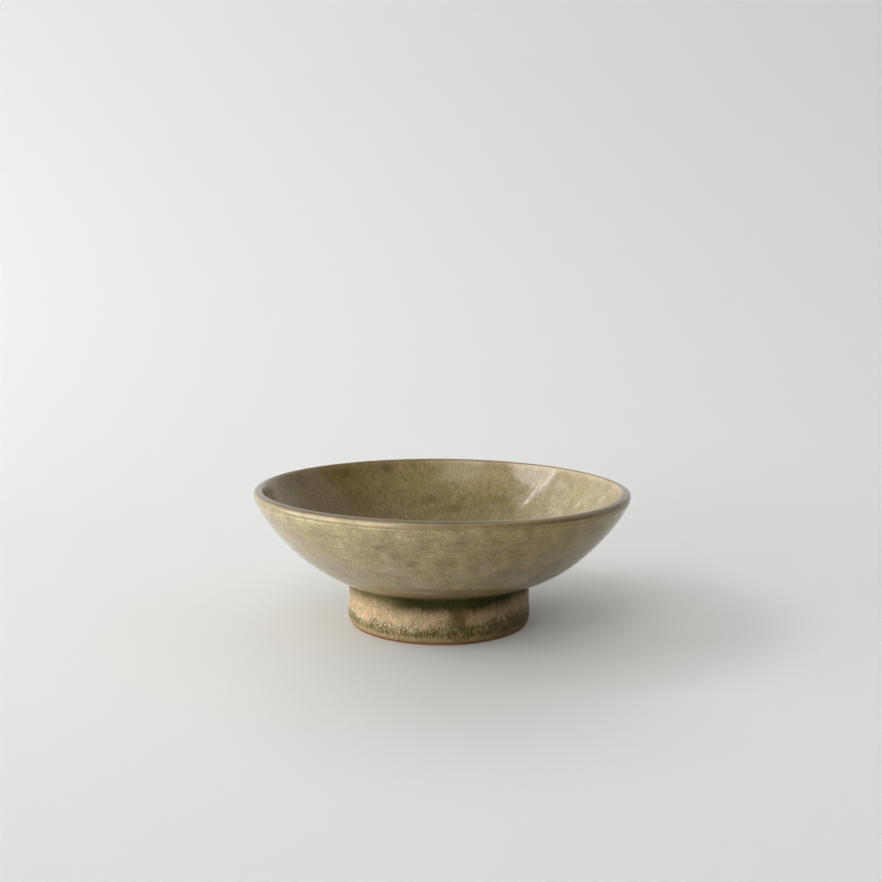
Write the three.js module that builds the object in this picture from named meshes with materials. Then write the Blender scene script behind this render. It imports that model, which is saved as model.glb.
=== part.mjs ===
// Footed deep dish: a wheel-thrown stoneware bowl on a tall ring foot.
// Millimetres, +Z up. The origin is the middle of the dish on the plane it
// stands on, right under the centre of the rim.
//
// Every piece is a body of revolution. Neighbouring pieces are built from the
// same rows of profile points, so they meet face to face and never overlap.
import * as THREE from 'three';
import { mergeVertices } from 'three/addons/utils/BufferGeometryUtils.js';

// ---------------------------------------------------------------- dimensions
const SEGMENTS = 88;          // facets round the axis (a multiple of 4)
const RIM_R = 80.0;           // outside radius of the lip: dish is 160 across
const HEIGHT = 58.88;         // crown of the lip above the standing plane
const CONTACT_R = 38.06;      // outer edge of the standing ring
const BORE_R = 31.6;          // radius of the bore of the foot ring
const GLAZE = 0.5;            // thickness of the fired glaze coats
const WIPE_Z = 1.0;           // glaze is wiped off the foot below this height
const SLIP = 0.3;             // thickness of the luting slip
const CEILING_Z = 18.4;       // clay underside of the bowl inside the foot
const SEAT_Z = 19.2;          // turned seat for the foot ring
const BOSS_R = 31.3;          // locating boss inside the seat
const FLOOR_Z = 22.6;         // glazed floor in the middle of the well
const FOOT_SHIFT = -0.97;     // the foot was thrown off centre by this, in X
const SHIFT_FULL_Z = 19.6;    // the whole foot up to here carries the shift,
const SHIFT_NONE_Z = 22.4;    // which has died out here

const FOOT_TOP_Z = SEAT_Z - SLIP;

// ------------------------------------------------------- rows of the profiles
// Each row is [radius, height].

// Bare standing edge of the foot, outside and inside.
const standingOut = [[CONTACT_R, 0], [38.55, 0.4], [38.74, WIPE_Z]];
const standingIn = [[31.72, WIPE_Z + 0.4], [31.95, 0.5], [32.4, 0]];

// Clay outside of the foot ring, from the wiped line up to the slip fillet.
const footClay = [[38.74, WIPE_Z], [38.86, 4.8], [38.48, 9.0], [38.54, 13.4], [38.54, 17.4]];

// Surface of the squeezed-out slip, from the foot ring to the bowl.
const slipFilletOut = [[38.54, 17.4], [38.82, 18.45], [39.5, 19.05], [40.4, 19.533]];

// Clay outside of the bowl, from the fillet up to the last turned line.
const bowlClay = [
  [40.4, 19.533], [44.86, 21.19], [52.14, 25.0], [60.58, 31.1],
  [67.83, 38.56], [74.48, 46.78], [78.62, 52.6],
];
// Clay lip: turned groove, ridge, rounded edge and inner arris.
const lipClay = [
  [78.62, 52.6], [79.36, 54.9], [79.3, 56.0], [79.56, 56.8],
  [79.2, 57.45], [78.5, 58.02], [77.5, 58.4], [76.78, 58.06],
];
// Clay inside of the bowl, from the lip's inner arris to the middle.
const insideClay = [
  [76.78, 58.06], [73.2, 51.2], [69.0, 45.4], [62.9, 38.4],
  [55.4, 32.0], [48.0, 27.4], [41.3, 24.9], [33.0, 23.45], [22.0, 22.6], [0, 22.1],
];

// Glazed outside, from the wiped line to the lip's inner arris.
const outsideGlaze = [
  [38.74, WIPE_Z], [39.14, 2.2], [39.36, 5.0], [38.98, 9.0], [39.05, 13.5], [39.06, 16.7],
  [39.44, 17.95], [40.6, 18.85], [44.64, 20.5], [51.9, 24.5], [60.24, 30.6],
  [68.16, 38.18], [74.91, 46.52], [79.1, 53.2], [79.86, 55.1], [79.74, 55.95], [RIM_R, 56.75],
  [79.68, 57.62], [78.75, 58.42], [77.5, HEIGHT], [76.42, 58.45],
];
// Glazed inside, from the lip's inner arris to the middle.
const insideGlaze = [
  [76.42, 58.45], [72.76, 51.44], [68.6, 45.72], [62.56, 38.8],
  [55.12, 32.44], [47.8, 27.88], [41.16, 25.38], [32.9, 23.94], [21.96, 23.1], [0, FLOOR_Z],
];

// Recess of the foot: clay and glaze, from the wiped line up to the middle.
const boreClay = [[31.72, WIPE_Z + 0.4], [31.9, 8.0], [BORE_R, 17.4]];
const slipFilletIn = [[BORE_R, 17.4], [31.3, 18.05], [30.5, CEILING_Z]];
const recessGlaze = [
  [31.72, WIPE_Z + 0.4], [31.3, 2.4], [31.38, 8.0], [31.08, 16.9],
  [30.7, 17.6], [30.1, CEILING_Z - GLAZE], [0, CEILING_Z - GLAZE],
];

// ------------------------------------------------------------------- helpers
function shiftAt(z) {
  if (z <= SHIFT_FULL_Z) return FOOT_SHIFT;
  if (z >= SHIFT_NONE_Z) return 0;
  return FOOT_SHIFT * (SHIFT_NONE_Z - z) / (SHIFT_NONE_Z - SHIFT_FULL_Z);
}

// Joins rows end to end and drops the points that two rows share.
function joinRows(...rows) {
  const out = [];
  for (const row of rows) {
    for (const p of row) {
      const last = out[out.length - 1];
      if (!last || last[0] !== p[0] || last[1] !== p[1]) out.push(p);
    }
  }
  return out;
}

const reversed = (row) => row.slice().reverse();

// One closed body of revolution about Z. The outline runs up the outside and
// down the inside; it either starts and ends on the axis or closes on itself.
function turned(name, outline, look) {
  const points = outline.map(([r, z]) => new THREE.Vector2(r, z));
  const onAxis = outline[0][0] === 0 && outline[outline.length - 1][0] === 0;
  if (!onAxis) points.push(points[0].clone());
  let geometry = new THREE.LatheGeometry(points, SEGMENTS);
  geometry.rotateX(Math.PI / 2);
  geometry.deleteAttribute('normal');
  geometry.deleteAttribute('uv');
  geometry = mergeVertices(geometry, 1e-3);

  // Facets that shrink to a line on the axis are left out.
  const index = geometry.index.array;
  const kept = [];
  for (let i = 0; i < index.length; i += 3) {
    const [a, b, c] = [index[i], index[i + 1], index[i + 2]];
    if (a !== b && b !== c && c !== a) kept.push(a, b, c);
  }

  // The foot sits a little off the centre of the rim.
  const position = geometry.attributes.position;
  for (let i = 0; i < position.count; i++) {
    position.setX(i, position.getX(i) + shiftAt(position.getZ(i)));
  }

  // Faces point out of the clay or glaze.
  let volume = 0;
  const [p, q, s] = [new THREE.Vector3(), new THREE.Vector3(), new THREE.Vector3()];
  for (let i = 0; i < kept.length; i += 3) {
    p.fromBufferAttribute(position, kept[i]);
    q.fromBufferAttribute(position, kept[i + 1]);
    s.fromBufferAttribute(position, kept[i + 2]);
    volume += p.dot(q.cross(s)) / 6;
  }
  if (volume < 0) {
    for (let i = 0; i < kept.length; i += 3) {
      [kept[i + 1], kept[i + 2]] = [kept[i + 2], kept[i + 1]];
    }
  }
  geometry.setIndex(kept);
  geometry.computeVertexNormals();

  const mesh = new THREE.Mesh(geometry, new THREE.MeshStandardMaterial({ metalness: 0, ...look }));
  mesh.name = name;
  return mesh;
}

// -------------------------------------------------------------------- pieces
const dish = new THREE.Group();
dish.name = 'footed_deep_dish';

// Bowl: seat and boss underneath, wall, lip, hollow inside.
dish.add(turned('bowl_body', joinRows(
  [[0, CEILING_Z], [30.5, CEILING_Z], [BOSS_R, CEILING_Z], [BOSS_R, SEAT_Z],
    [39.6, SEAT_Z], [40.4, 19.533]],
  bowlClay,
  lipClay,
  insideClay,
), { color: 0xa9835c, roughness: 0.85 }));

// Foot ring: stands on its bare lower edge, its top goes up into the seat.
dish.add(turned('foot_ring', joinRows(
  [[32.4, 0]],
  standingOut,
  footClay,
  [[38.54, FOOT_TOP_Z], [BORE_R, FOOT_TOP_Z]],
  reversed(boreClay),
  standingIn.slice(0, 2),
), { color: 0x9a6f47, roughness: 0.88 }));

// Luting slip: a thin cap over the top of the ring, with a fillet each side.
dish.add(turned('luting_slip', joinRows(
  slipFilletOut,
  [[39.6, SEAT_Z], [BOSS_R, SEAT_Z], [BOSS_R, CEILING_Z], [30.5, CEILING_Z]],
  reversed(slipFilletIn),
  [[BORE_R, FOOT_TOP_Z], [38.54, FOOT_TOP_Z]],
), { color: 0xb08f68, roughness: 0.9 }));

// Outer glaze coat: foot, joint, wall and over the lip.
dish.add(turned('glaze_outside', joinRows(
  outsideGlaze,
  reversed(lipClay),
  reversed(bowlClay),
  reversed(slipFilletOut),
  reversed(footClay.slice(1)),
), { color: 0x9d9069, roughness: 0.25 }));

// Liner glaze coat: from the lip's inner arris down over the floor.
dish.add(turned('glaze_inside', joinRows(
  reversed(insideClay),
  insideGlaze,
), { color: 0xa09468, roughness: 0.22 }));

// Glaze coat in the recess of the foot.
dish.add(turned('glaze_foot_well', joinRows(
  reversed(recessGlaze),
  boreClay,
  slipFilletIn,
  [[0, CEILING_Z]],
), { color: 0x8c7d57, roughness: 0.35 }));

export default dish;
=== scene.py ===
import math

import bpy
import numpy as np
from mathutils import Matrix, Vector


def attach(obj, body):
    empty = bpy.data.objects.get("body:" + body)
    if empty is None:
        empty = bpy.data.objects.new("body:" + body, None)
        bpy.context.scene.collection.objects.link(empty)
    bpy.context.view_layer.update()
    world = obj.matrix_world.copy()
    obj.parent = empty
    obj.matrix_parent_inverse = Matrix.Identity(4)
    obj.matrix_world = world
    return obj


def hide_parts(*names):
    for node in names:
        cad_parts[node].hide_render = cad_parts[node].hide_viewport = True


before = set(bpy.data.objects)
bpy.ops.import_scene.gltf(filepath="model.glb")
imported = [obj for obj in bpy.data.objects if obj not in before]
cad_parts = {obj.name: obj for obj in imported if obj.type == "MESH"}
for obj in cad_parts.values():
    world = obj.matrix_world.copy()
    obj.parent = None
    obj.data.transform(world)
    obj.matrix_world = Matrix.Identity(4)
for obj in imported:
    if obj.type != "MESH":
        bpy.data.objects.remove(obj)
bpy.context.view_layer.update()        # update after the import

MM = 0.001

# =====================================================================
# Camera: fitted to the rim ellipse, both silhouettes and the foot's arc
# =====================================================================
CAM_Y, CAM_Z = -437.16, 133.11           # mm
CAM_PITCH, CAM_YAW, CAM_ROLL = (math.radians(a) for a in (7.203, -0.078, 0.40))
CAM_F_PX = 1029.0                         # focal length in pixels of an 882 frame

cam_data = bpy.data.cameras.new("studio_camera")
cam = bpy.data.objects.new("studio_camera", cam_data)
bpy.context.scene.collection.objects.link(cam)
cam_data.sensor_fit = "HORIZONTAL"
cam_data.sensor_width = 36.0
cam_data.lens = CAM_F_PX / 882.0 * 36.0
cam_data.clip_start, cam_data.clip_end = 0.01, 30.0
cam_data.dof.use_dof = False
right0 = Vector((math.cos(CAM_YAW), -math.sin(CAM_YAW), 0.0))
ahead = Vector((math.sin(CAM_YAW) * math.cos(CAM_PITCH), math.cos(CAM_YAW) * math.cos(CAM_PITCH), -math.sin(CAM_PITCH)))
up0 = right0.cross(ahead)
right = right0 * math.cos(CAM_ROLL) + up0 * math.sin(CAM_ROLL)
up = up0 * math.cos(CAM_ROLL) - right0 * math.sin(CAM_ROLL)
cam.matrix_world = Matrix((
    (right.x, up.x, -ahead.x, 0.0),
    (right.y, up.y, -ahead.y, CAM_Y * MM),
    (right.z, up.z, -ahead.z, CAM_Z * MM),
    (0, 0, 0, 1)))
bpy.context.scene.camera = cam

# =====================================================================
# Profiles of the dish, millimetres: (radius, height, row spacing there)
# =====================================================================
CEILING_Z, SEAT_Z, BOSS_R, BORE_R, SLIP = 18.4, 19.2, 31.3, 31.6, 0.3
SEGMENTS = 448

# glazed outside, from the wiped line on the foot up to the lip's inner arris
OUTSIDE = [
    (38.70, 1.00, 0.12), (38.93, 1.16, 0.12), (39.08, 1.50, 0.18), (39.17, 2.20, 0.4), (39.32, 3.50, 0.6),
    (39.36, 5.00, 0.6), (39.20, 7.00, 0.6), (39.00, 9.00, 0.6), (38.96, 11.20, 0.6),
    (39.03, 13.50, 0.6), (39.06, 15.60, 0.5), (39.10, 16.90, 0.35), (39.34, 17.80, 0.25),
    (39.92, 18.45, 0.25), (40.90, 18.98, 0.3), (42.60, 19.72, 0.5), (44.63, 20.66, 0.6),
    (47.29, 22.00, 0.6), (50.12, 23.50, 0.6), (54.19, 26.00, 0.6), (57.00, 28.00, 0.6),
    (60.24, 30.60, 0.6), (62.96, 33.00, 0.6), (66.07, 36.00, 0.6), (68.16, 38.18, 0.6),
    (70.67, 41.00, 0.6), (73.08, 44.00, 0.6), (74.91, 46.52, 0.6), (77.09, 50.00, 0.6),
    (78.52, 52.75, 0.4), (79.16, 54.05, 0.22), (79.56, 54.85, 0.16), (79.74, 55.35, 0.12),
    (79.66, 55.72, 0.12), (79.70, 56.00, 0.12), (79.92, 56.30, 0.12), (80.00, 56.65, 0.12),
    (79.96, 57.10, 0.12), (79.86, 57.50, 0.12), (79.68, 57.90, 0.12), (79.32, 58.26, 0.12), (78.75, 58.55, 0.14),
    (78.20, 58.72, 0.16), (77.60, 58.84, 0.18),
    (76.98, 58.86, 0.12), (76.55, 58.60, 0.12),
]
# glazed inside, from the lip's inner arris down to the middle of the well
INSIDE = [
    (76.55, 58.60, 0.12), (76.28, 58.20, 0.16), (75.95, 57.55, 0.3), (75.0, 55.70, 0.5), (73.35, 52.60, 0.6),
    (71.56, 49.60, 0.6), (68.60, 45.72, 0.65), (65.60, 42.15, 0.7), (62.30, 38.60, 0.7), (58.60, 35.10, 0.7),
    (54.60, 32.00, 0.8), (50.40, 29.25, 0.8), (46.0, 27.02, 0.9), (41.20, 25.30, 1.0), (36.0, 24.30, 1.1),
    (30.0, 23.72, 1.2), (22.0, 23.20, 1.3), (12.0, 22.80, 1.4), (5.0, 22.64, 1.2), (0.0, 22.60, 1.0),
]
# clay under the outer glaze, the slip's fillet and the clay lip
FOOT_CLAY = [(38.70, 1.00), (38.72, 1.60), (38.84, 4.8), (38.50, 9.0), (38.54, 13.4), (38.54, 17.4)]
FILLET_OUT = [(38.54, 17.4), (38.82, 18.40), (39.5, 18.98), (40.4, 19.45)]
BOWL_CLAY = [(40.4, 19.45), (44.86, 21.30), (50.0, 23.95), (55.4, 27.45), (60.5, 31.55), (64.3, 35.0),
             (67.8, 38.75), (71.2, 42.75), (74.3, 46.85), (76.6, 50.4), (78.1, 53.2), (78.9, 54.7)]
LIP_CLAY = [(78.9, 54.7), (79.20, 55.35), (79.24, 56.1), (79.50, 56.65), (79.36, 57.25), (78.95, 57.75),
            (78.2, 58.12), (77.4, 58.34), (76.92, 58.32)]
INSIDE_CLAY = [(76.92, 58.32), (76.4, 57.3), (73.9, 52.4), (71.9, 48.9), (69.0, 45.25), (66.0, 41.65), (62.7, 38.1),
               (59.0, 34.65), (54.9, 31.5), (50.6, 28.7), (46.15, 26.45), (41.3, 24.75), (36.05, 23.75),
               (30.0, 23.2), (22.0, 22.7), (12.0, 22.3), (0.0, 22.1)]
# bare standing edge of the foot, from the recess side over the flat to the outside
STANDING = [
    (31.70, 1.45, 0.25), (31.74, 0.95, 0.2), (31.92, 0.45, 0.14), (32.25, 0.12, 0.12), (32.70, 0.0, 0.4),
    (35.2, 0.0, 0.5), (37.60, 0.0, 0.2), (37.98, 0.04, 0.1), (38.34, 0.24, 0.1), (38.58, 0.58, 0.12), (38.70, 1.00, 0.14),
]
# glazed recess of the foot, from the wiped line up to the middle
RECESS = [
    (31.70, 1.45, 0.14), (31.50, 1.60, 0.14), (31.36, 2.0, 0.25), (31.30, 3.0, 0.7), (31.36, 6.0, 0.9), (31.30, 11.0, 0.9),
    (31.14, 15.2, 0.6), (30.98, 16.5, 0.35), (30.55, 17.30, 0.3), (29.7, 17.72, 0.35), (28.0, 17.86, 0.8),
    (20.0, 17.80, 1.4), (10.0, 17.72, 1.6), (0.0, 17.70, 1.6),
]
BORE_CLAY = [(31.70, 1.45), (31.92, 6.0), (31.80, 12.0), (31.60, 17.4)]
FILLET_IN = [(31.60, 17.4), (31.3, 18.0), (30.5, 18.4)]


def spline(rows):
    """Rows of (r, z, step) as a smooth curve, resampled to the asked spacing."""
    p = np.array([(a[0], a[1]) for a in rows], float)
    want = np.array([a[2] for a in rows], float)
    t = np.concatenate([[0], np.cumsum(np.linalg.norm(np.diff(p, axis=0), axis=1))])
    m = np.zeros_like(p)
    d = np.diff(p, axis=0) / np.diff(t)[:, None]
    h = np.diff(t)
    m[1:-1] = (d[:-1] * h[1:, None] + d[1:] * h[:-1, None]) / (h[:-1] + h[1:])[:, None]
    m[0] = 1.5 * d[0] - 0.5 * m[1]
    m[-1] = 1.5 * d[-1] - 0.5 * m[-2]
    fine = np.unique(np.concatenate([np.linspace(a, b, 41) for a, b in zip(t[:-1], t[1:])]))
    density = 1.0 / np.interp(fine, t, want)
    count = np.concatenate([[0], np.cumsum((density[1:] + density[:-1]) / 2 * np.diff(fine))])
    n = max(2, int(round(count[-1])))
    at = np.interp(np.linspace(0, count[-1], n + 1), count, fine)
    at[0], at[-1] = t[0], t[-1]
    k = np.clip(np.searchsorted(t, at, side="right") - 1, 0, len(t) - 2)
    w = (at - t[k]) / h[k]
    h00, h10 = 2 * w**3 - 3 * w**2 + 1, w**3 - 2 * w**2 + w
    h01, h11 = -2 * w**3 + 3 * w**2, w**3 - w**2
    out = (h00[:, None] * p[k] + (h10 * h[k])[:, None] * m[k]
           + h01[:, None] * p[k + 1] + (h11 * h[k])[:, None] * m[k + 1])
    out[0], out[-1] = p[0], p[-1]
    out[:, 1] = np.maximum(out[:, 1], p[:, 1].min())
    return out


# ------------------------------------------------------ hand-made unevenness
THETA = np.arange(SEGMENTS) * 2 * np.pi / SEGMENTS


def smooth(a, b, x):
    t = np.clip((np.asarray(x, float) - a) / (b - a), 0, 1)
    return t * t * (3 - 2 * t)


def near(theta, middle, width):
    """A smooth hump round one direction, in degrees."""
    away = (np.degrees(theta) - middle + 180.0) % 360.0 - 180.0
    return np.exp(-(away / width) ** 2)


def waves(seed, count, short, long, turns, power=1.0):
    """Harmonics of length along the profile and whole turns round the axis."""
    rng = np.random.default_rng(seed)
    lengths = short * (long / short) ** rng.random(count)
    around = rng.integers(-turns, turns + 1, count)
    phases = rng.random(count) * 2 * np.pi
    sizes = (lengths / long) ** power
    sizes /= np.sqrt((sizes**2).sum() / 2)
    return lengths, around, phases, sizes


def ripple(s, theta, kit):
    total = 0.0
    for length, turn, phase, size in zip(*kit):
        total = total + size * np.cos(2 * np.pi * s / length + turn * theta + phase)
    return total


THROWN = waves(11, 26, 1.7, 6.5, 1, 0.9)      # finger and rib lines
DENTS = waves(23, 20, 22.0, 60.0, 6, 0.4)     # slow unevenness of the wall
EDGE = waves(31, 12, 1e9, 2e9, 9, 0.0)        # unevenness round the standing edge
GRIT = waves(47, 60, 0.7, 1.6, 240, 0.3)      # tooth of the bare clay


def warp(r, z, theta, radial=0.0, lift=0.0):
    """The place in metres of profile points (r, z) at angle theta."""
    high = smooth(24.0, 58.0, z)
    out = r + radial + high * 0.06 * np.cos(3 * theta + 1.1)
    x = out * np.cos(theta)
    y = out * np.sin(theta)
    x = x - 0.97 * (1 - smooth(19.6, 23.6, z))
    up_ = high * (0.24 * near(theta, 86.0, 26.0) - 0.40 * near(theta, 22.0, 24.0) - 0.62 * near(theta, -46.0, 25.0)
                  + 0.05 * np.cos(3 * theta - 0.5))
    low = smooth(0.0, 0.9, z) * (1 - smooth(1.4, 4.5, z))
    wipe = low * 0.16 * ripple(0.0, theta, EDGE)
    return np.stack([x, y, z + up_ + wipe + lift], -1) * MM


def grid(rows, thrown=0.0, dents=0.0, keep=2.0, grit=0.0, hollow=0.0):
    """Rows of profile points turned round the axis: (rows, SEGMENTS, 3)."""
    rows = np.asarray(rows, float)[:, :2]
    s = np.concatenate([[0], np.cumsum(np.linalg.norm(np.diff(rows, axis=0), axis=1))])
    t = np.gradient(rows, axis=0)
    t /= np.maximum(np.linalg.norm(t, axis=1, keepdims=True), 1e-9)
    n = np.stack([t[:, 1], -t[:, 0]], 1)       # to the right of the way the rows run
    fade = smooth(0, keep, s) * smooth(0, keep, s[-1] - s)
    S, T = s[:, None], THETA[None, :]
    push = fade[:, None] * (thrown * ripple(S, T, THROWN) + dents * ripple(S, T, DENTS))
    if grit:
        push = push + fade[:, None] * grit * ripple(S, T, GRIT)
    R = rows[:, :1] + n[:, :1] * push
    Z = rows[:, 1:] + n[:, 1:] * push
    if hollow:                                  # the wall stands steeper under the lip at the left
        R = R + hollow * near(T, 172.0, 30.0) * smooth(46.5, 53.0, Z) * (1 - smooth(53.0, 58.0, Z))
    R = np.where(rows[:, :1] <= 1e-9, 0.0, np.maximum(R, 0.0))
    return warp(R, Z, T)


def normals_of(P):
    """Unit normals of a grid that closes round the axis, rows running up."""
    across = np.roll(P, -1, 1) - np.roll(P, 1, 1)
    along = np.gradient(P, axis=0)
    N = np.cross(across, along)
    size = np.linalg.norm(N, axis=2, keepdims=True)
    flat = size[..., 0] < 1e-13
    N = N / np.maximum(size, 1e-13)
    if flat.any():
        rows = np.where(flat.any(1))[0]
        for i in rows:
            j = i - 1 if i > 0 else i + 1
            mean = N[j].mean(0)
            N[i] = mean / np.linalg.norm(mean)
    return N


def solid(name, shown, shown_normals, hidden, material, node):
    """One closed body: the shown grid, then the hidden rows back to its start.
    The outline runs up the outside and down the inside."""
    rows = [shown[i] for i in range(len(shown))]
    edges = [0]
    skip_first = np.allclose(hidden[0], shown[-1], atol=1e-9)
    back = hidden[1:] if skip_first else hidden
    rows += [back[i] for i in range(len(back))]
    closed = not (np.ptp(rows[0], axis=0).max() < 1e-9)
    if closed and np.allclose(rows[-1], rows[0], atol=1e-9):
        rows = rows[:-1]
    verts, first, pole = [], [], []
    for row in rows:
        first.append(len(verts))
        if np.ptp(row, axis=0).max() < 1e-9:
            verts.append(row[0]); pole.append(True)
        else:
            verts.extend(row); pole.append(False)
    faces, face_rows = [], []
    n = SEGMENTS
    pairs = [(i, i + 1) for i in range(len(rows) - 1)]
    if closed:
        pairs.append((len(rows) - 1, 0))
    for a, b in pairs:
        fa, fb = first[a], first[b]
        if pole[a] and pole[b]:
            continue
        for j in range(n):
            k = (j + 1) % n
            if pole[a]:
                faces.append((fa, fb + k, fb + j))
            elif pole[b]:
                faces.append((fa + j, fa + k, fb))
            else:
                faces.append((fa + j, fa + k, fb + k, fb + j))
            face_rows.append(a)
    mesh = bpy.data.meshes.new(name)
    mesh.from_pydata([tuple(v) for v in verts], [], faces)
    mesh.validate()
    mesh.update()
    mesh.polygons.foreach_set("use_smooth", np.ones(len(mesh.polygons), bool))

    # true normals on the shown surface, so that neighbouring coats meet unseen
    vn = np.zeros((len(verts), 3), np.float32)
    for i in range(len(shown)):
        if pole[i]:
            vn[first[i]] = shown_normals[i][0]
        else:
            vn[first[i]:first[i] + n] = shown_normals[i]
    total = len(mesh.loops)
    loop_vert = np.empty(total, np.int32)
    mesh.loops.foreach_get("vertex_index", loop_vert)
    loop_start = np.empty(len(mesh.polygons), np.int32)
    mesh.polygons.foreach_get("loop_start", loop_start)
    loop_total = np.empty(len(mesh.polygons), np.int32)
    mesh.polygons.foreach_get("loop_total", loop_total)
    face_n = np.empty(len(mesh.polygons) * 3, np.float32)
    mesh.polygons.foreach_get("normal", face_n)
    face_n = face_n.reshape(-1, 3)
    face_of = np.repeat(np.arange(len(mesh.polygons)), loop_total)
    seen = np.array(face_rows)[face_of] < len(shown) - 1
    normals = np.where(seen[:, None], vn[loop_vert], face_n[face_of])
    mesh.normals_split_custom_set([tuple(v) for v in normals])

    ob = bpy.data.objects.new(name, mesh)
    bpy.context.scene.collection.objects.link(ob)
    mesh.materials.append(material)
    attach(ob, "root")
    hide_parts(node)
    return ob


# =====================================================================
# Node helpers
# =====================================================================
def lin(r, g, b):
    def one(v):
        v /= 255.0
        return v / 12.92 if v <= 0.04045 else ((v + 0.055) / 1.055) ** 2.4
    return (one(r), one(g), one(b), 1.0)


class Net:
    """Short-hand for building a shader's node tree."""

    def __init__(self, name):
        self.mat = bpy.data.materials.new(name)
        self.mat.use_nodes = True
        self.t = self.mat.node_tree
        self.t.nodes.clear()

    def node(self, kind, **props):
        n = self.t.nodes.new(kind)
        for k, v in props.items():
            setattr(n, k, v)
        return n

    def put(self, socket, value):
        if value is None:
            return
        if isinstance(value, bpy.types.NodeSocket):
            self.t.links.new(value, socket)
        elif socket.type == "VECTOR" and len(value) == 4:
            socket.default_value = value[:3]
        else:
            socket.default_value = value

    def math(self, op, a, b=None, c=None, clamp=False):
        n = self.node("ShaderNodeMath", operation=op, use_clamp=clamp)
        self.put(n.inputs[0], a)
        self.put(n.inputs[1], b)
        self.put(n.inputs[2], c)
        return n.outputs[0]

    def vec(self, op, a, b=None, scale=None):
        n = self.node("ShaderNodeVectorMath", operation=op)
        self.put(n.inputs[0], a)
        self.put(n.inputs[1], b)
        if scale is not None:
            self.put(n.inputs[3], scale)
        return n.outputs["Value"] if op in ("LENGTH", "DOT_PRODUCT", "DISTANCE") else n.outputs[0]

    def xyz(self, v):
        n = self.node("ShaderNodeSeparateXYZ")
        self.put(n.inputs[0], v)
        return n.outputs[0], n.outputs[1], n.outputs[2]

    def join(self, x, y, z):
        n = self.node("ShaderNodeCombineXYZ")
        for s, v in zip(n.inputs, (x, y, z)):
            self.put(s, v)
        return n.outputs[0]

    def noise(self, v, scale=1.0, detail=2.0, rough=0.5, distort=0.0, lac=2.0):
        n = self.node("ShaderNodeTexNoise", noise_dimensions="3D")
        self.put(n.inputs["Vector"], v)
        self.put(n.inputs["Scale"], scale)
        self.put(n.inputs["Detail"], detail)
        self.put(n.inputs["Roughness"], rough)
        self.put(n.inputs["Lacunarity"], lac)
        self.put(n.inputs["Distortion"], distort)
        return n.outputs[0]

    def noise_vec(self, v, scale=1.0, detail=1.0):
        n = self.node("ShaderNodeTexNoise", noise_dimensions="3D")
        self.put(n.inputs["Vector"], v)
        self.put(n.inputs["Scale"], scale)
        self.put(n.inputs["Detail"], detail)
        return n.outputs[1]

    def cells(self, v, scale=1.0, feature="DISTANCE_TO_EDGE", random=1.0):
        n = self.node("ShaderNodeTexVoronoi", voronoi_dimensions="3D", feature=feature)
        self.put(n.inputs["Vector"], v)
        self.put(n.inputs["Scale"], scale)
        self.put(n.inputs["Randomness"], random)
        return n

    def fit(self, x, a, b, c=0.0, d=1.0, kind="SMOOTHSTEP"):
        n = self.node("ShaderNodeMapRange", interpolation_type=kind, clamp=True)
        for s, v in zip(n.inputs[:5], (x, a, b, c, d)):
            self.put(s, v)
        return n.outputs[0]

    def mix(self, f, a, b, mode="MIX"):
        n = self.node("ShaderNodeMix", data_type="RGBA", blend_type=mode, clamp_factor=True)
        self.put(n.inputs[0], f)
        self.put(n.inputs[6], a)
        self.put(n.inputs[7], b)
        return n.outputs[2]

    def ramp(self, x, stops, kind="LINEAR"):
        n = self.node("ShaderNodeValToRGB")
        n.color_ramp.interpolation = kind
        e = n.color_ramp.elements
        while len(e) < len(stops):
            e.new(0.5)
        for el, (p, c) in zip(e, stops):
            el.position = p
        for el, (p, c) in zip(e, stops):
            el.color = c
        self.put(n.inputs[0], x)
        return n.outputs[0]

    def spots(self, at, places):
        """Soft-edged patches: (x, y, z, reach across, reach up) in mm; 1 at the middle."""
        total = None
        for x, y, z, wide, high in places:
            away = self.vec("MULTIPLY", self.vec("SUBTRACT", at, (x, y, z)), (1.0 / wide, 1.0 / wide, 1.0 / high))
            one = self.fit(self.vec("LENGTH", away), 1.0, 0.2, 0.0, 1.0)
            total = one if total is None else self.math("MAXIMUM", total, one)
        return total

    def tone(self, colour, *layers):
        """Lightens and darkens a colour by (layer - 0.5) * amount for each layer."""
        k = 1.0
        for layer, amount in layers:
            k = self.math("MULTIPLY_ADD", self.math("SUBTRACT", layer, 0.5), amount, k)
        return self.vec("SCALE", colour, scale=self.math("MAXIMUM", k, 0.05))

    def bump(self, height, strength, distance, normal=None):
        n = self.node("ShaderNodeBump")
        self.put(n.inputs["Height"], height)
        self.put(n.inputs["Strength"], strength)
        self.put(n.inputs["Distance"], distance)
        if normal is not None:
            self.put(n.inputs["Normal"], normal)
        return n.outputs[0]

    def finish(self, **values):
        p = self.node("ShaderNodeBsdfPrincipled")
        out = self.node("ShaderNodeOutputMaterial")
        self.t.links.new(p.outputs[0], out.inputs[0])
        for k, v in values.items():
            self.put(p.inputs[k.replace("_", " ")], v)
        return self.mat


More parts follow.
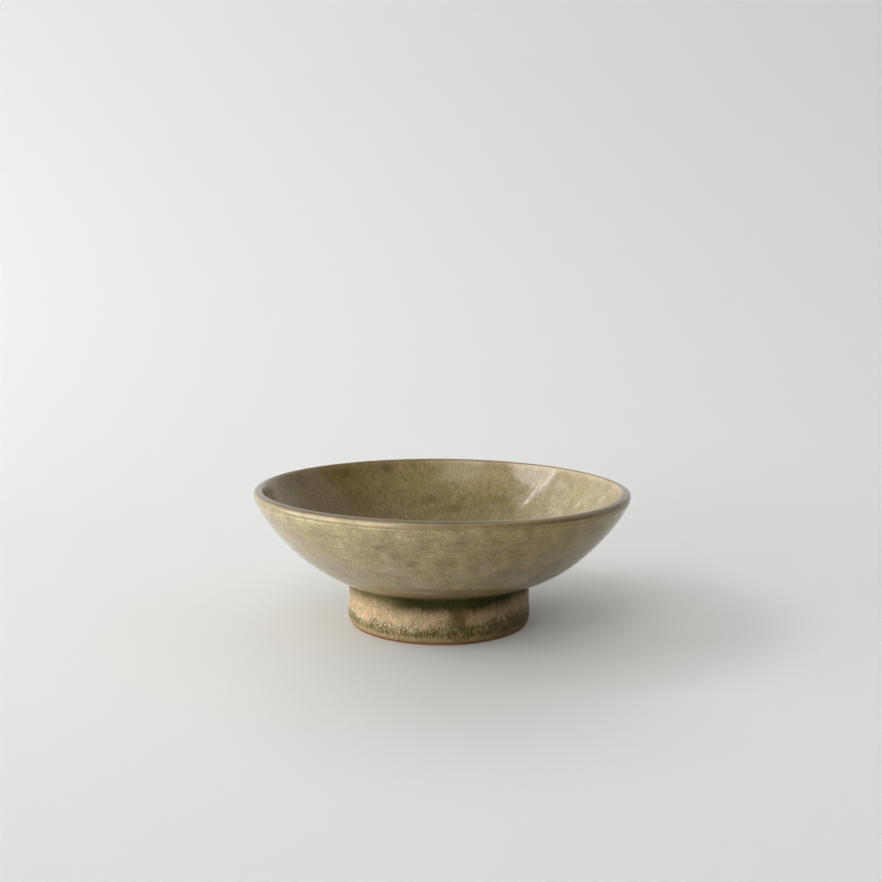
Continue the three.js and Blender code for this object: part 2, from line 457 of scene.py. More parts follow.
# =====================================================================
# Glaze
# =====================================================================
def glaze(name, side):
    """Olive ash glaze over stoneware. side is "out", "in" or "well"."""
    g = Net(name)
    coord = g.node("ShaderNodeTexCoord").outputs["Object"]
    P = g.vec("SCALE", coord, scale=1000.0)
    X, Y, Z = g.xyz(P)
    flat = g.join(X, Y, 0.0)
    R = g.vec("LENGTH", flat)
    soft = g.math("DIVIDE", 1.0, g.math("MAXIMUM", R, {"in": 50.0, "out": 30.0, "well": 27.0}[side]))
    U = g.vec("SCALE", flat, scale=soft)        # the direction from the axis, fading out near it
    ux, uy, _ = g.xyz(U)
    T = g.math("MULTIPLY_ADD", R, 0.5, Z)       # rises up the wall

    drift = g.vec("SCALE", g.vec("SUBTRACT", g.noise_vec(P, 0.09, 2.0), (0.5, 0.5, 0.5)), scale=9.0)
    Q = g.vec("ADD", P, drift)
    along = g.join(g.math("MULTIPLY", ux, 9.0), g.math("MULTIPLY", uy, 9.0), g.math("MULTIPLY", T, 1.35))
    upward = g.join(g.math("MULTIPLY", ux, 76.0), g.math("MULTIPLY", uy, 76.0), g.math("MULTIPLY", T, 0.22))

    cloud = g.noise(Q, 0.050, 2.0, 0.5)
    patch = g.noise(g.vec("ADD", Q, (37.0, 11.0, 5.0)), 0.15, 3.0, 0.55)
    lines = g.noise(along, 1.0, 3.0, 0.6)
    runs = g.noise(upward, 1.0, 3.0, 0.6)
    grain = g.noise(P, 1.15, 3.0, 0.6)
    mottle = g.noise(g.vec("ADD", g.join(X, Y, g.math("MULTIPLY", Z, 0.8)), (5.0, 71.0, 23.0)), 0.52, 2.0, 0.55)

    # crackle: a fine net of cells drawn out a little up the wall
    wob = g.vec("SCALE", g.noise_vec(P, 0.45, 2.0), scale=1.1)
    craze_at = g.vec("ADD", g.join(X, Y, g.math("MULTIPLY", Z, 0.6)), wob)
    big = g.cells(craze_at, 0.36).outputs["Distance"]
    small = g.cells(g.vec("ADD", craze_at, (13.1, 7.7, 3.3)), 0.85).outputs["Distance"]
    craze = g.math("MAXIMUM", g.fit(big, 0.0, 0.050, 1.0, 0.0), g.math("MULTIPLY", g.fit(small, 0.0, 0.075, 1.0, 0.0), 0.6))
    craze = g.math("MULTIPLY", craze, g.fit(patch, 0.32, 0.60, 0.4, 1.0))

    drifts = g.fit(g.noise(g.vec("ADD", g.join(X, Y, g.math("MULTIPLY", Z, 0.7)), (61.0, 3.0, 29.0)), 0.13, 2.0, 0.5), 0.40, 0.60)
    if side == "in":
        body = g.mix(g.fit(cloud, 0.40, 0.62), IN_OLIVE, IN_GREEN)
        body = g.mix(g.fit(patch, 0.50, 0.68, 0.0, 0.22), body, IN_PALE_AND_SHEEN)
        body = g.tone(body, (cloud, 0.35), (patch, 0.62), (lines, 0.15), (runs, 1.05), (mottle, 0.12), (grain, 1.10))
        # painted light and shade: the inside is made darker and browner at the left, away from the window, and paler
        # with a bluish painted sheen at the right, where the window falls; lower down the wall it is darker, less so at
        # the right
        painted_side_light = g.math("ADD", g.fit(ux, -0.95, -0.12, 0.66, 0.98), g.fit(ux, 0.38, 0.92, 0.0, 0.40))
        body = g.vec("SCALE", body, scale=painted_side_light)
        body = g.mix(g.fit(ux, -0.25, -0.75), body, g.vec("MULTIPLY", body, (1.06, 0.93, 0.72)))
        body = g.mix(g.fit(ux, -0.68, -0.92), body, g.vec("MULTIPLY", body, (0.96, 0.90, 0.80)))
        body = g.mix(g.fit(ux, 0.26, 0.74), body, g.vec("MULTIPLY", body, (1.01, 1.10, 1.60)))
        body = g.vec("SCALE", body, scale=g.math("ADD", g.fit(Z, 38.0, 52.0, 0.86, 1.0), g.math("MULTIPLY", g.fit(Z, 38.0, 52.0, 0.14, 0.0), g.fit(ux, 0.50, 0.90))))
    else:
        body = g.mix(g.fit(cloud, 0.40, 0.60), OUT_ROSY, OUT_GREEN)
        body = g.mix(g.fit(patch, 0.52, 0.68, 0.0, 0.30), body, OUT_HAZE)
        body = g.tone(body, (cloud, 0.45), (patch, 0.95), (g.math("MULTIPLY_ADD", g.math("SUBTRACT", lines, 0.5), g.fit(Z, 30.0, 50.0, 0.35, 1.0), 0.5), 0.60), (runs, 0.20), (mottle, 0.34), (grain, 1.00))
        # painted light and shade: the outside is made paler and more neutral towards the left, where the window lights
        # it and its broad reflection falls, and darker elsewhere and round the right; lower down the wall it is darker
        painted_side_light = g.fit(g.vec("DOT_PRODUCT", U, (-0.95, -0.30, 0.0)), -0.25, 0.95)
        body = g.mix(painted_side_light, g.vec("MULTIPLY", body, (0.875, 0.865, 0.83)), g.vec("MULTIPLY", body, (1.36, 1.42, 2.00)))
        body = g.mix(g.fit(ux, 0.40, 0.75), body, g.vec("MULTIPLY", body, (0.83, 0.82, 0.76)))
        body = g.vec("SCALE", body, scale=g.math("MULTIPLY", g.fit(Z, 42.0, 28.0, 1.0, 0.79), g.fit(Z, 28.0, 21.5, 1.0, 0.82)))
        body = g.vec("SCALE", body, scale=g.fit(Z, 50.5, 54.8, 1.0, 1.15))

    body = g.vec("MULTIPLY", body, g.mix(drifts, (1.010, 0.994, 1.035, 1.0), (0.990, 1.005, 0.955, 1.0)))

    # darker pools and paler clouds in the glaze
    loose = g.vec("ADD", P, g.vec("SCALE", g.vec("SUBTRACT", g.noise_vec(P, 0.28, 2.0), (0.5, 0.5, 0.5)), scale=5.0))
    if side == "out":
        pools = g.spots(loose, [(-17, -71.5, 44.5, 5.0, 3.6), (-10.5, -70, 41.0, 4.6, 3.4), (2, -71.5, 42.0, 6.2, 4.4), (12.5, -68, 39.0, 5.0, 4.2),
                                (24, -62, 36.5, 5.4, 5.0), (27, -69.4, 46.0, 4.6, 6.0), (44, -49.5, 36.0, 7.0, 6.0), (-22, -72.5, 48.0, 5.0, 3.2),
                                (-66, 28, 40, 8, 5), (-30, 62, 42, 9, 5), (20, 66, 38, 8, 6), (62, 30, 40, 9, 6), (-58, -14, 33, 7, 5)])
        clouds = g.spots(loose, [(-14, -65.7, 37, 6.5, 5.5), (-7.5, -60, 31, 7.5, 4.5), (16, -67.5, 39.7, 4.0, 5.0), (7.5, -65.5, 36, 5.0, 4.0),
                                 (-42, -54, 38.5, 8, 6), (30, -52, 30.5, 8, 5), (-60, 36, 46, 9, 6), (10, 72, 46, 10, 6), (70, -8, 42, 9, 6)])
        body = g.mix(g.math("MULTIPLY", pools, 0.40), body, OUT_DARK)
        body = g.mix(g.math("MULTIPLY", clouds, 0.46), body, OUT_GREY)
    if side == "in":
        pools = g.spots(loose, [(-27, 69.4, 55, 4.5, 3.4), (6.7, 60, 37, 7.5, 3.6), (-47, 57.5, 54, 4.0, 3.6), (-6, 64, 40.5, 8.0, 3.0),
                                (67, 31, 53.4, 1.5, 2.6), (73.7, 12, 55, 1.2, 1.4), (54, 50, 53, 3.4, 3.0), (30, 59, 42, 6.5, 3.0), (-66, 35, 54, 5, 4)])
        body = g.mix(g.math("MULTIPLY", pools, 0.46), body, IN_DARK)

    body = g.mix(g.math("MULTIPLY", craze, 0.46 if side == "in" else 0.24), body, lin(84, 70, 38))

    # iron specks
    dots = g.cells(P, 0.27 if side == "in" else 0.20, "F1", 1.0)
    speck = g.fit(dots.outputs["Distance"], 0.055, 0.115, 1.0, 0.0)
    pick = g.fit(g.xyz(dots.outputs["Color"])[0], 0.52, 0.56, 0.0, 1.0)
    body = g.mix(g.math("MULTIPLY", g.math("MULTIPLY", speck, pick), 0.72 if side == "in" else 0.38), body, lin(58, 44, 24))

    rough = g.fit(patch, 0.3, 0.7, 0.36, 0.48)
    height = g.math("MULTIPLY_ADD", craze, -0.5, g.math("MULTIPLY", runs if side == "in" else lines, 0.5))
    if side == "in":
        height = g.math("MULTIPLY_ADD", grain, 0.5, height)

    if side == "in":
        right = g.fit(ux, -0.3, 0.8, 0.25, 1.0)
        # painted sheen: the upper inside wall at the right is paled towards the window's broad reflection
        body = g.mix(g.math("MULTIPLY", g.fit(Z, 45.0, 57.0, 0.0, 0.42), g.fit(ux, -0.20, 0.25)), body, g.tone(IN_PALE_AND_SHEEN, (grain, 0.8), (patch, 0.8)))
        thin = g.math("MULTIPLY", g.fit(g.math("MULTIPLY_ADD", g.math("SUBTRACT", patch, 0.5), 4.0, Z), 55.6, 58.6), g.math("MULTIPLY", right, 0.62))
        body = g.mix(thin, body, g.tone(RIM_CREAM, (grain, 0.3)))
        away = g.fit(g.vec("DOT_PRODUCT", U, (0.5, 0.866, 0.0)), -0.2, 0.2)
        body = g.mix(g.math("MULTIPLY", g.fit(Z, 57.9, 58.3), g.math("SUBTRACT", 0.75, g.math("MULTIPLY", away, 0.75))), body, ARRIS)
        body = g.mix(g.math("MULTIPLY", g.fit(Z, 58.15, 58.4), g.math("MULTIPLY", away, 0.8)), body, CROWN)

    if side == "out":
        # the lip: thin and pale over the left front, browner round the right,
        # a worn pale line along the crown at the right front, dark at the back
        turn = g.math("MULTIPLY_ADD", g.math("SUBTRACT", patch, 0.5), 0.05, g.vec("DOT_PRODUCT", U, (-0.985, -0.174, 0.0)))
        lip = g.mix(g.fit(turn, 0.36, 0.12), LIP_PALE, LIP_MID)
        lip = g.mix(g.fit(turn, 0.03, -0.01), lip, LIP_BROWN)
        lip = g.mix(g.fit(turn, -0.20, -0.50), lip, LIP_DARK)
        lip = g.mix(g.fit(uy, 0.05, 0.35), lip, LIP_DARK)
        # painted highlight: the pale lip is made brighter over a short stretch at the left front
        lip = g.vec("SCALE", lip, scale=g.math("MULTIPLY_ADD", g.math("MULTIPLY", g.fit(turn, 0.31, 0.39), g.fit(turn, 0.76, 0.62)), 0.30, 1.0))
        lip = g.tone(lip, (patch, 0.9), (grain, 0.6))
        face = g.fit(Z, 56.00, 56.40, 0.0, 1.0)
        body = g.mix(g.math("MULTIPLY", face, 0.90), body, lip)
        crown = g.math("MULTIPLY", g.fit(Z, 57.95, 58.40), g.fit(R, 76.60, 76.70))
        away = g.fit(g.vec("DOT_PRODUCT", U, (0.5, 0.866, 0.0)), -0.2, 0.2)
        round_right = g.vec("DOT_PRODUCT", U, (0.77, -0.64, 0.0))
        top = g.mix(g.fit(round_right, 0.73, 0.80), CROWN_MID, g.mix(g.fit(round_right, 0.80, 0.96), WORN, ARRIS))
        top = g.tone(g.mix(away, top, CROWN), (grain, 0.6), (patch, 0.6))
        body = g.mix(g.math("MULTIPLY", crown, 0.85), body, top)
        groove = g.math("MULTIPLY", g.fit(Z, 55.40, 55.70), g.fit(Z, 56.15, 55.85))
        body = g.mix(g.math("MULTIPLY", groove, 0.18), body, OUT_DARK)

        # the foot: green glass pooled at the joint, rosy tan, a green-brown skirt
        fringe = g.noise(g.join(g.math("MULTIPLY", ux, 30.0), g.math("MULTIPLY", uy, 30.0), g.math("MULTIPLY", Z, 0.22)), 1.0, 3.0, 0.6)
        streaks = g.noise(g.join(g.math("MULTIPLY", ux, 66.0), g.math("MULTIPLY", uy, 66.0), g.math("MULTIPLY", Z, 0.45)), 1.0, 3.0, 0.65)
        slow = g.noise(g.join(g.math("MULTIPLY", ux, 4.0), g.math("MULTIPLY", uy, 4.0), g.math("MULTIPLY", Z, 0.05)), 1.0, 3.0, 0.55)
        blotch = g.noise(g.vec("ADD", P, (3.0, 50.0, 9.0)), 0.30, 3.0, 0.6)
        fine = g.noise(g.join(g.math("MULTIPLY_ADD", X, 1.9, 31.0), g.math("MULTIPLY", Y, 1.9), g.math("MULTIPLY", Z, 1.1)), 1.0, 3.0, 0.65)

        def swing(layer, amount):
            return g.math("MULTIPLY", g.math("SUBTRACT", layer, 0.5), amount)

        edge = g.math("ADD", g.math("ADD", swing(fringe, 3.4), swing(streaks, 3.0)), swing(blotch, 4.0))
        ZP = g.math("ADD", g.math("ADD", Z, edge), swing(slow, 3.0))
        ZS = g.math("SUBTRACT", g.math("ADD", Z, edge), swing(slow, 3.0))
        joint = g.math("MULTIPLY", g.fit(g.math("ADD", Z, swing(fringe, 3.0)), 15.2, 18.2), g.fit(Z, 22.5, 20.5))
        tan = g.tone(g.mix(g.fit(blotch, 0.40, 0.60), FOOT_TAN, FOOT_ROSY), (blotch, 1.1), (streaks, 1.1), (fine, 1.2), (grain, 0.7))
        body = g.mix(g.fit(Z, 19.6, 18.2, 0.0, 1.0), body, tan)
        left = g.vec("DOT_PRODUCT", U, (-0.80, -0.60, 0.0))
        thick = g.fit(left, 1.0, 0.84, 0.42, 1.0)
        thick = g.math("MULTIPLY", thick, g.fit(g.math("ADD", slow, g.fit(uy, -0.2, -0.6, 0.0, 0.5)), 0.42, 0.55, 0.35, 1.0))
        short = g.fit(g.vec("DOT_PRODUCT", U, (0.94, -0.34, 0.0)), 0.70, 1.0, 0.0, 2.4)
        pool = g.fit(g.math("SUBTRACT", ZP, short), 10.4, 16.4, 0.0, 1.0)
        pool = g.math("MULTIPLY", g.math("MULTIPLY", pool, thick), g.fit(Z, 22.4, 18.6, 0.0, 1.0))
        # painted shade: the bottom of the wall, in the crease above the foot, is darkened towards a dark olive
        crease_shade = g.math("MULTIPLY", g.fit(Z, 27.5, 21.5), g.fit(g.math("ADD", Z, swing(fringe, 4.0)), 14.5, 18.0))
        body = g.mix(g.math("MULTIPLY", crease_shade, g.fit(Z, 23.0, 19.5, 0.36, 0.52)), body, OUT_DARK)
        deep = g.tone(FOOT_DEEP, (streaks, 2.6), (fine, 1.6))
        body = g.mix(g.math("MULTIPLY", joint, 0.45), body, lin(84, 82, 38))
        body = g.mix(g.math("MULTIPLY", pool, 0.985), body, deep)
        run = g.spots(loose, [(7.4, -38.6, 9.5, 6.2, 11.5), (33, 18, 9, 3.5, 6.0), (-20, 32, 9, 3.0, 6.0)])
        body = g.mix(g.math("MULTIPLY", run, 0.84), body, g.tone(FOOT_RUN, (streaks, 1.8), (fine, 1.2)))
        low_left = g.math("ADD", g.fit(left, 0.90, 0.965, 0.0, 1.0), g.fit(left, 0.975, 1.0, 0.0, -1.6))
        tall = g.fit(left, 0.85, 0.55, 0.0, 1.6)
        skirt = g.math("MULTIPLY", g.fit(g.math("SUBTRACT", g.math("SUBTRACT", ZS, low_left), tall), 9.0, 4.8, 0.0, 1.0), g.fit(Z, 1.6, 4.2, 0.25, 1.0))
        dashes = g.mix(g.fit(streaks, 0.40, 0.62), FOOT_DASH, FOOT_PALE)
        # painted shade: the skirt is made darker round the right
        dashes = g.vec("SCALE", dashes, scale=g.fit(ux, 0.42, 0.72, 1.0, 0.78))
        body = g.mix(g.math("MULTIPLY", skirt, 0.86), body, g.tone(dashes, (blotch, 0.9), (fine, 1.2)))
        glint = g.math("MULTIPLY", g.fit(fine, 0.54, 0.60), g.math("MULTIPLY", g.fit(ZS, 4.6, 6.2), g.fit(ZS, 9.2, 7.6)))
        glint = g.math("MULTIPLY", glint, g.fit(left, 0.55, 0.80, 0.25, 1.0))
        body = g.mix(g.math("MULTIPLY", glint, 0.85), body, lin(232, 220, 192))
        body = g.mix(g.fit(Z, 2.8, 1.7, 0.0, 0.75), body, g.tone(FOOT_HEM, (fine, 1.0), (blotch, 0.8)))
        # a dark line along the wiped glaze edge: partly the glaze's own edge, partly painted shadow under it
        body = g.mix(g.fit(Z, 1.42, 1.16, 0.0, 0.70), body, lin(86, 54, 27))
        foot_cells = g.cells(g.join(g.math("MULTIPLY", ux, 40.0), g.math("MULTIPLY", uy, 40.0), g.math("MULTIPLY", Z, 0.60)), 1.0).outputs["Distance"]
        net = g.math("MULTIPLY", g.fit(foot_cells, 0.0, 0.08, 1.0, 0.0), g.fit(Z, 18.8, 17.2, 0.0, 1.0))
        body = g.mix(g.math("MULTIPLY", net, 0.16), body, lin(60, 50, 24))
        low = g.fit(Z, 19.0, 17.5, 0.0, 1.0)
        shade = g.math("ADD", g.fit(ux, -0.85, 0.0, 0.02, -0.16), g.fit(ux, 0.10, 0.70, 0.0, -0.35))
        body = g.vec("SCALE", body, scale=g.math("MULTIPLY_ADD", shade, low, 1.0))
        body = g.mix(g.math("MULTIPLY", low, g.fit(ux, -0.10, 0.30)), body, g.vec("MULTIPLY", body, (1.0, 0.96, 0.82)))
        height = g.math("MULTIPLY", height, g.fit(Z, 19.0, 30.0, 0.25, 1.0))
        height = g.math("ADD", height, g.math("MULTIPLY", low, g.math("MULTIPLY_ADD", net, -0.6, g.math("MULTIPLY", streaks, 2.0))))

    normal = g.bump(height, 0.25, 0.0001)
    coat = g.math("MULTIPLY", g.fit(Z, 18.2, 19.6, 0.08, 0.95), g.fit(ux, 0.55, 0.90, 1.0, 0.85)) if side == "out" else 0.95
    return g.finish(Base_Color=body, Roughness=rough, IOR=1.5, Specular_IOR_Level=0.03, Normal=normal,
                    Coat_Weight=coat, Coat_Roughness=0.04, Coat_IOR=1.5, Coat_Normal=normal)


IN_OLIVE, IN_GREEN, IN_PALE_AND_SHEEN, IN_DARK = lin(154, 134, 89), lin(145, 127, 75), lin(166, 148, 115), lin(92, 76, 34)
OUT_ROSY, OUT_GREEN, OUT_HAZE = lin(151, 132, 87), lin(147, 131, 81), lin(159, 142, 101)
OUT_DARK, OUT_GREY = lin(88, 76, 38), lin(160, 145, 118)
RIM_CREAM, ARRIS, WORN = lin(208, 185, 152), lin(172, 152, 117), lin(116, 101, 71)
CROWN_MID, CROWN = lin(95, 82, 56), lin(138, 122, 92)
LIP_PALE, LIP_MID, LIP_BROWN, LIP_DARK = lin(164, 145, 108), lin(140, 122, 84), lin(130, 112, 73), lin(102, 87, 55)
FOOT_TAN, FOOT_ROSY, FOOT_DEEP = lin(194, 172, 131), lin(197, 166, 131), lin(56, 55, 19)
FOOT_RUN, FOOT_DASH, FOOT_PALE, FOOT_HEM = lin(88, 73, 34), lin(66, 63, 26), lin(150, 135, 88), lin(150, 128, 84)


def clay(name, tint, bare):
    c = Net(name)
    coord = c.node("ShaderNodeTexCoord").outputs["Object"]
    P = c.vec("SCALE", coord, scale=1000.0)
    X, Y, Z = c.xyz(P)
    cloud = c.noise(P, 0.35, 4.0, 0.6)
    grain = c.noise(P, 3.2, 3.0, 0.7)
    k = [tuple(v * f for v in tint[:3]) + (1.0,) for f in (0.62, 1.0, 1.28)]
    body = c.ramp(cloud, [(0.32, k[0]), (0.52, k[1]), (0.72, k[2])])
    body = c.mix(c.fit(grain, 0.55, 0.72, 0.0, 0.45), body, k[0])
    body = c.mix(c.fit(grain, 0.42, 0.30, 0.0, 0.35), body, k[2])
    if bare:
        toast = c.fit(Z, 0.15, 0.75, 0.0, 1.0)
        body = c.mix(c.math("MULTIPLY", toast, 0.75), body, lin(120, 70, 36))
    height = c.math("ADD", c.math("MULTIPLY", grain, 0.8), c.math("MULTIPLY", cloud, 0.5))
    return c.finish(Base_Color=body, Roughness=0.82, IOR=1.45, Normal=c.bump(height, 0.6, 0.0001))


mat_out = glaze("ash_glaze_outside", "out")
mat_in = glaze("ash_glaze_inside", "in")
mat_well = glaze("ash_glaze_recess", "well")
mat_bare = clay("bare_stoneware", lin(176, 128, 84), True)
mat_clay = clay("stoneware_body", lin(190, 160, 124), False)
mat_slip = clay("luting_slip", lin(196, 168, 132), False)

# =====================================================================
# The pieces
# =====================================================================
outside = spline(OUTSIDE)
inside = spline(INSIDE)
standing = spline(STANDING)
recess = spline(RECESS)

P_out = grid(outside, thrown=0.022, dents=0.07, keep=3.0)
P_in = grid(inside, thrown=0.004, dents=0.035, keep=3.0, hollow=0.30)
P_stand = grid(standing, grit=0.0)
P_well = grid(recess, thrown=0.03, keep=2.0)

# the outside, the lip and the inside are one skin: normals run across the seam
both = np.concatenate([P_out, P_in[1:]])
N_both = normals_of(both)
N_out, N_in = N_both[:len(P_out)], N_both[len(P_out) - 1:]
N_stand = normals_of(P_stand)
N_well = normals_of(P_well)

hid_foot, hid_fillet, hid_bowl = grid(FOOT_CLAY), grid(FILLET_OUT), grid(BOWL_CLAY)
hid_lip, hid_inside = grid(LIP_CLAY), grid(INSIDE_CLAY)
hid_bore, hid_fillet_in = grid(BORE_CLAY), grid(FILLET_IN)


def chain(*parts):
    out = [parts[0]]
    for p in parts[1:]:
        out.append(p[1:] if np.allclose(p[0], out[-1][-1], atol=1e-9) else p)
    return np.concatenate(out)


back_out = chain(hid_lip[::-1], hid_bowl[::-1], hid_fillet[::-1], hid_foot[::-1])
glaze_outside = solid("glazed_outside", P_out, N_out, back_out, mat_out, "glaze_outside")

back_in = hid_inside[::-1]
glaze_inside = solid("glazed_inside", P_in, N_in, back_in, mat_in, "glaze_inside")

foot_top = grid([(38.54, 17.4), (38.54, SEAT_Z - SLIP), (BORE_R, SEAT_Z - SLIP), (BORE_R, 17.4)])
back_foot = chain(hid_foot, foot_top, hid_bore[::-1])
foot_ring = solid("bare_foot_ring", P_stand, N_stand, back_foot, mat_bare, "foot_ring")

back_well = chain(grid([(0.0, CEILING_Z), (30.5, CEILING_Z)]), hid_fillet_in[::-1], hid_bore[::-1])
glaze_well = solid("glazed_recess", P_well, N_well, back_well, mat_well, "glaze_foot_well")

under = grid([(0.0, CEILING_Z), (30.5, CEILING_Z), (BOSS_R, CEILING_Z), (BOSS_R, SEAT_Z), (39.6, SEAT_Z), (40.4, 19.45)])
body_rows = chain(under, hid_bowl, hid_lip)
bowl_body = solid("clay_bowl", body_rows, normals_of(body_rows), hid_inside, mat_clay, "bowl_body")

slip_rows = hid_fillet
slip_back = chain(hid_fillet[-1:], grid([(39.6, SEAT_Z), (BOSS_R, SEAT_Z), (BOSS_R, CEILING_Z), (30.5, CEILING_Z)]),
                  hid_fillet_in[::-1], grid([(BORE_R, SEAT_Z - SLIP), (38.54, SEAT_Z - SLIP), (38.54, 17.4)]))
slip = solid("slip_joint", slip_rows, normals_of(slip_rows), slip_back, mat_slip, "luting_slip")

# =====================================================================
# Studio: pale paper sweep, soft boxes placed by direction, dim pale room
# =====================================================================
ROOM = lin(221, 222, 221)


def paper():
    """Pale paper, a shade deeper up the wall and towards the front, with a painted shadow just before the foot. Far off
    to the sides and the front it passes into the pale room."""
    n = Net("pale_paper")
    at = n.node("ShaderNodeTexCoord").outputs["Object"]
    x, y, z = n.xyz(at)
    tone = n.math("MULTIPLY", n.fit(z, 0.06, 0.50, 1.0, 0.905), n.fit(y, -0.03, -0.30, 1.0, 0.895))
    # painted shadow: a soft darker spot on the paper just before the foot
    before = n.vec("LENGTH", n.vec("MULTIPLY", n.vec("SUBTRACT", at, (0.012, -0.095, 0.0)), (10.0, 11.1, 0.0)))
    tone = n.math("MULTIPLY", tone, n.fit(before, 0.0, 1.0, 0.85, 1.0))
    n.finish(Base_Color=n.vec("SCALE", lin(236, 236, 234), scale=tone), Roughness=0.9, IOR=1.3)
    near_shader, out = (next(m for m in n.t.nodes if m.type == kind) for kind in ("BSDF_PRINCIPLED", "OUTPUT_MATERIAL"))
    glow = n.node("ShaderNodeEmission")
    glow.inputs[0].default_value = ROOM
    both = n.node("ShaderNodeMixShader")
    n.put(both.inputs[0], n.math("MAXIMUM", n.fit(n.math("ABSOLUTE", x), 0.65, 1.5), n.fit(y, -0.9, -2.3)))
    n.t.links.new(near_shader.outputs[0], both.inputs[1])
    n.t.links.new(glow.outputs[0], both.inputs[2])
    n.t.links.new(both.outputs[0], out.inputs[0])
    return n.mat


def sweep():
    """A pale paper floor that curves up into a wall."""
    start, radius, top, near_y, half = 0.16, 0.42, 1.9, -6.3, 6.3
    line = [(near_y, 0.0), (start, 0.0)]
    for i in range(1, 33):
        a = math.radians(90.0 * i / 32)
        line.append((start + radius * math.sin(a), radius - radius * math.cos(a)))
    line.append((start + radius, top))
    verts, faces = [], []
    for y, z in line:
        verts += [(-half, y, z - 0.00002), (half, y, z - 0.00002)]
    for i in range(len(line) - 1):
        a = 2 * i
        faces.append((a, a + 1, a + 3, a + 2))
    me = bpy.data.meshes.new("paper_sweep")
    me.from_pydata(verts, [], faces)
    me.update()
    me.polygons.foreach_set("use_smooth", np.ones(len(me.polygons), bool))
    ob = bpy.data.objects.new("paper_sweep", me)
    bpy.context.scene.collection.objects.link(ob)
    me.materials.append(paper())
    return ob


def room():
    """Pale surroundings for the side and back views. They light nothing."""
    n, m, radius = 48, 24, 6.0
    verts = [(radius * math.cos(math.pi * (j / m - 0.5)) * math.cos(2 * math.pi * i / n),
              radius * math.cos(math.pi * (j / m - 0.5)) * math.sin(2 * math.pi * i / n),
              radius * math.sin(math.pi * (j / m - 0.5))) for j in range(1, m) for i in range(n)]
    faces = [(j * n + i, j * n + (i + 1) % n, (j + 1) * n + (i + 1) % n, (j + 1) * n + i)
             for j in range(m - 2) for i in range(n)]
    me = bpy.data.meshes.new("pale_room")
    me.from_pydata(verts, [], faces)
    me.update()
    me.polygons.foreach_set("use_smooth", np.ones(len(me.polygons), bool))
    ob = bpy.data.objects.new("pale_room", me)
    bpy.context.scene.collection.objects.link(ob)
    w = Net("pale_room")
    glow = w.node("ShaderNodeEmission")
    glow.inputs[0].default_value = ROOM
    w.t.links.new(glow.outputs[0], w.node("ShaderNodeOutputMaterial").inputs[0])
    me.materials.append(w.mat)
    ob.visible_diffuse = ob.visible_glossy = ob.visible_transmission = ob.visible_shadow = False
    return ob


sweep()
room()


def area(name, place, look, size, radiance, colour=(1, 1, 1)):
    d = bpy.data.lights.new(name, "AREA")
    d.shape = "RECTANGLE"
    d.size, d.size_y = size
    d.energy = math.pi * size[0] * size[1] * radiance
    d.color = colour
    ob = bpy.data.objects.new(name, d)
    ob.location = place
    ob.rotation_euler = (Vector(look) - Vector(place)).to_track_quat("-Z", "Y").to_euler()
    ob.visible_camera = False
    bpy.context.scene.collection.objects.link(ob)
    return ob


def soft_box(name, azimuth, elevation, reach, radiance, colour=(1, 1, 1)):
    """A soft box that fills a window of directions, in degrees, as the dish
    sees them: azimuth 0 is towards the camera, -90 to the left."""
    a, e = math.radians(sum(azimuth) / 2), math.radians(sum(elevation) / 2)
    place = Vector((math.sin(a) * math.cos(e), -math.cos(a) * math.cos(e), math.sin(e))) * reach
    if place.y > 0.5:
        place *= 0.5 / place.y
    r = place.length
    wide = 2 * r * math.cos(e) * math.tan(math.radians(azimuth[1] - azimuth[0]) / 2)
    high = 2 * r * math.tan(math.radians(elevation[1] - elevation[0]) / 2)
    middle = Vector((0, 0, 0.04))
    return area(name, place + middle, middle, (wide, high), radiance, colour)


def slit(name, low, high, width, reach, radiance, colour=(1, 1, 1)):
    """A narrow light from one direction (azimuth, elevation) up to another."""
    ends = [Vector((math.sin(a) * math.cos(e), -math.cos(a) * math.cos(e), math.sin(e))) * reach
            for a, e in ((math.radians(u), math.radians(v)) for u, v in (low, high))]
    place, run = (ends[0] + ends[1]) / 2, (ends[1] - ends[0])
    z = (place - run * (place.dot(run) / run.length_squared)).normalized()
    x = run.normalized()
    ob = area(name, place + Vector((0, 0, 0.05)), (0, 0, 0.05), (run.length, 2 * reach * math.tan(math.radians(width / 2))), radiance, colour)
    ob.rotation_euler = Matrix((x, z.cross(x), z)).transposed().to_euler()
    return ob


def pane(name, wall_azimuth, away, azimuths, rises, radiance, colour=(1, 1, 1)):
    """A window in a wall that faces the dish from one azimuth: the azimuths of
    its two sides, and its sill and head as height over distance."""
    t0, t1 = (away * math.tan(math.radians(a - wall_azimuth)) for a in azimuths)
    b = math.radians(wall_azimuth)
    out, side = Vector((math.sin(b), -math.cos(b), 0)), Vector((math.cos(b), math.sin(b), 0))
    z0, z1 = rises[0] * away, rises[1] * away
    place = out * away + side * ((t0 + t1) / 2) + Vector((0, 0, (z0 + z1) / 2 + 0.05))
    return area(name, place, place - out, (abs(t1 - t0), z1 - z0), radiance, colour)


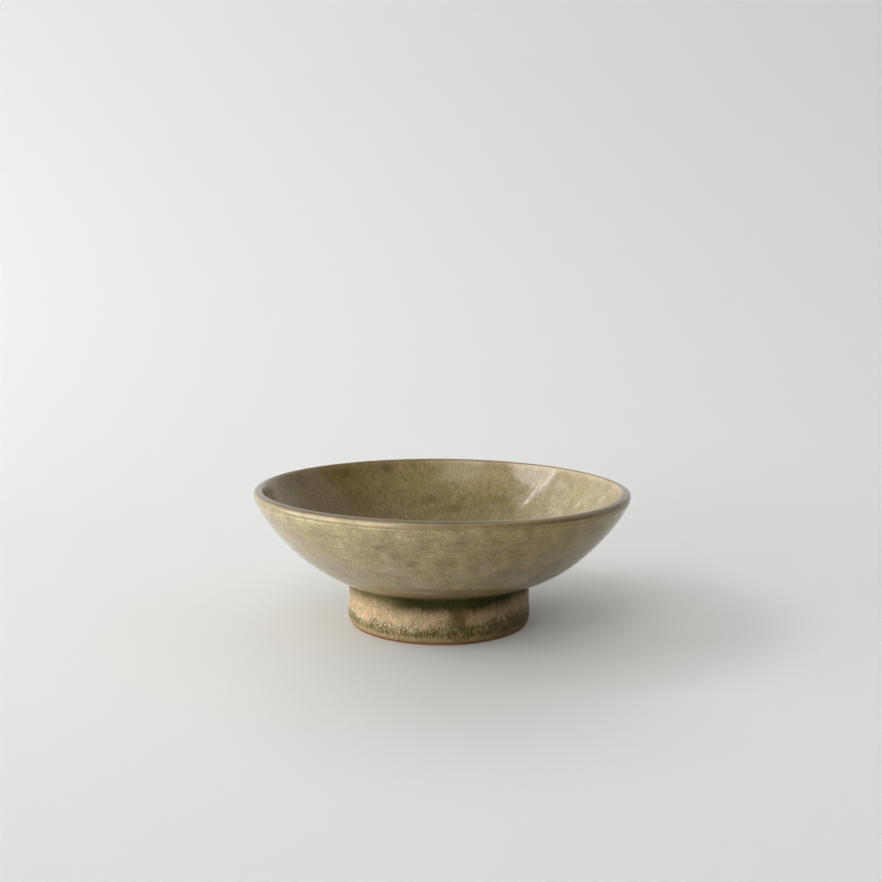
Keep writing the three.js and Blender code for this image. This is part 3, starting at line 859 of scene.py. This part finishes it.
DAY = (0.975, 0.99, 1.0)
soft_box("window_low", (-118, -60), (3, 19), 2.4, 6.7, DAY)
soft_box("window_front", (-60, -26), (5, 18), 2.4, 6.6, DAY)
pane("window_high", -100, 1.9, (-97, -60), (0.62, 1.13), 4.6, DAY)
slit("window_gap_foot", (-94.8, 29.5), (-92.7, 33.8), 1.3, 2.4, 17.0, DAY)
slit("window_gap_low", (-92.8, 34.0), (-94.6, 39.0), 1.2, 2.4, 15.0, DAY)
slit("window_gap_high", (-94.6, 39.0), (-98.4, 44.5), 1.6, 2.4, 24.0, DAY)
slit("window_gap_head", (-99.3, 45.8), (-105.7, 55.0), 0.8, 2.4, 34.0, DAY)
soft_box("window_side", (-40, -26), (18, 34), 2.4, 3.8, DAY)
soft_box("front_low", (-27, 17), (4, 36), 2.4, 0.3)
soft_box("front_high", (-37, 0), (42, 62), 2.4, 1.6)
fill = soft_box("right_fill", (50, 110), (22, 46), 2.4, 0.95)
fill.visible_glossy = False

world = bpy.data.worlds.new("dim_room")
world.use_nodes = True
wt = world.node_tree
wt.nodes.clear()
w_coord = wt.nodes.new("ShaderNodeTexCoord")
w_split = wt.nodes.new("ShaderNodeSeparateXYZ")
w_rise = wt.nodes.new("ShaderNodeMapRange")
w_rise.interpolation_type = "SMOOTHSTEP"
w_back = wt.nodes.new("ShaderNodeBackground")
w_out = wt.nodes.new("ShaderNodeOutputWorld")
wt.links.new(w_coord.outputs["Generated"], w_split.inputs[0])
wt.links.new(w_split.outputs[2], w_rise.inputs[0])
for socket, value in zip(w_rise.inputs[1:5], (0.45, 1.0, 0.02, 0.52)):      # dim sides, paler ceiling
    socket.default_value = value
wt.links.new(w_rise.outputs[0], w_back.inputs[1])
w_back.inputs[0].default_value = (1.0, 1.0, 1.0, 1.0)
wt.links.new(w_back.outputs[0], w_out.inputs[0])
bpy.context.scene.world = world

vs = bpy.context.scene.view_settings
vs.view_transform = "Standard"
vs.look = "None"
vs.exposure = 0.0
vs.gamma = 1.0
